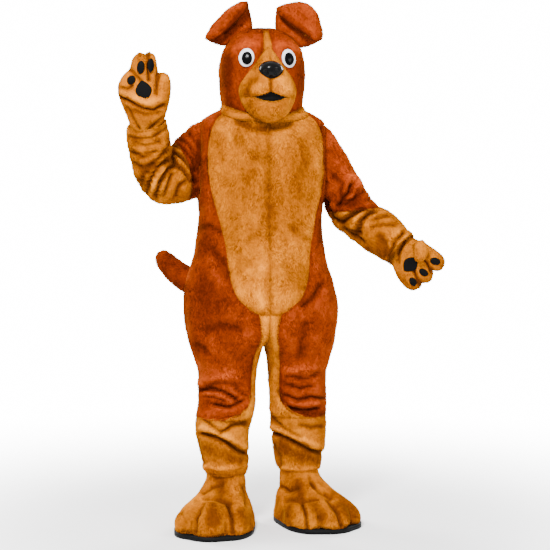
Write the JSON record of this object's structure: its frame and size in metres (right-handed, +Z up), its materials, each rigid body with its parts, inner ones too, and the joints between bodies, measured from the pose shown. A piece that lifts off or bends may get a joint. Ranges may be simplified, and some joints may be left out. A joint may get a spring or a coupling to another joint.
{
  "type": "dog mascot costume",
  "caption": "Hollow plush dog costume as worn: body suit with tail, paw mitts, paw boots and a folded-ear headpiece, one arm raised.",
  "frame": {"origin": "on the centre line between the wearer's shoulders, where they carry the suit, 1.46 m above the soles", "axes": "+Z up, -Y the way the face looks, +X towards the wearer's left arm"},
  "size_m": [1.1836, 0.5671, 1.9049],
  "materials": {
    "rust_plush": "rust-brown short plush pile",
    "tan_plush": "golden tan short plush pile",
    "pad_cloth": "black short-napped cloth, padded",
    "rubber_sole": "matt black ribbed rubber",
    "nose_shell": "glossy black moulded shell",
    "mouth_vinyl": "black vinyl, soft gloss",
    "eye_white": "white glossy shell",
    "eye_black": "black glossy shell"
  },
  "bodies": {
    "root": {"back_left": "rust_plush", "back_right": "rust_plush", "belly_left": "tan_plush", "belly_right": "tan_plush", "blaze": "tan_plush", "boot_left": "tan_plush", "boot_right": "tan_plush", "ear_inner_left": "rust_plush", "ear_inner_right": "rust_plush", "ear_outer_left": "rust_plush", "ear_outer_right": "rust_plush", "eye_left": "eye_white", "eye_right": "eye_white", "face_left": "rust_plush", "face_right": "rust_plush", "front_left": "rust_plush", "front_right": "rust_plush", "head_back": "rust_plush", "inner_leg_left": "tan_plush", "inner_leg_right": "tan_plush", "jaw": "tan_plush", "lower_sleeve_left": "tan_plush", "lower_sleeve_right": "tan_plush", "mitt_back_left": "tan_plush", "mitt_back_right": "tan_plush", "mitt_palm_left": "tan_plush", "mitt_palm_right": "tan_plush", "mouth_lining": "mouth_vinyl", "muzzle_left": "tan_plush", "muzzle_right": "tan_plush", "neck_band": "tan_plush", "nose": "nose_shell", "pad_finger_1_left": "pad_cloth", "pad_finger_1_right": "pad_cloth", "pad_finger_2_left": "pad_cloth", "pad_finger_2_right": "pad_cloth", "pad_finger_3_left": "pad_cloth", "pad_finger_3_right": "pad_cloth", "pad_palm_left": "pad_cloth", "pad_palm_right": "pad_cloth", "pupil_left": "eye_black", "pupil_right": "eye_black", "shin_left": "tan_plush", "shin_right": "tan_plush", "sole_left": "rubber_sole", "sole_right": "rubber_sole", "tail": "rust_plush", "thumb_left": "tan_plush", "upper_sleeve_left": "rust_plush", "upper_sleeve_right": "rust_plush"}
  },
  "joints": []
}
